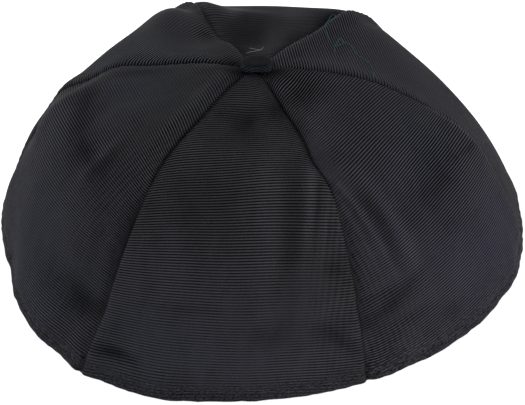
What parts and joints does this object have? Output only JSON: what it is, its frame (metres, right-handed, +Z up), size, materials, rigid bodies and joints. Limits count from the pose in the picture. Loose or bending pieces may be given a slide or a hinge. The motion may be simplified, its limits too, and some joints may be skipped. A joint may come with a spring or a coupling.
{
  "type": "kippah",
  "caption": "Soft round skullcap sewn from watered ribbed cloth panels that meet at a covered button, standing on its turned hem.",
  "frame": {"origin": "middle of the footprint, on the surface that the hem rests on", "axes": "+Z up, -Y towards the wearer's front, +X to the right as seen from the front"},
  "size_m": [0.1689, 0.1665, 0.065],
  "materials": {
    "cloth": "near-black watered (moire) ribbed faille, dull with soft sheen",
    "button_cloth": "the same faille, pleated tight over a small shell"
  },
  "bodies": {
    "root": {"panel_front": "cloth", "panel_front_right": "cloth", "panel_back_right": "cloth", "panel_back": "cloth", "panel_back_left": "cloth", "panel_front_left": "cloth", "top_button": "button_cloth"}
  },
  "joints": []
}
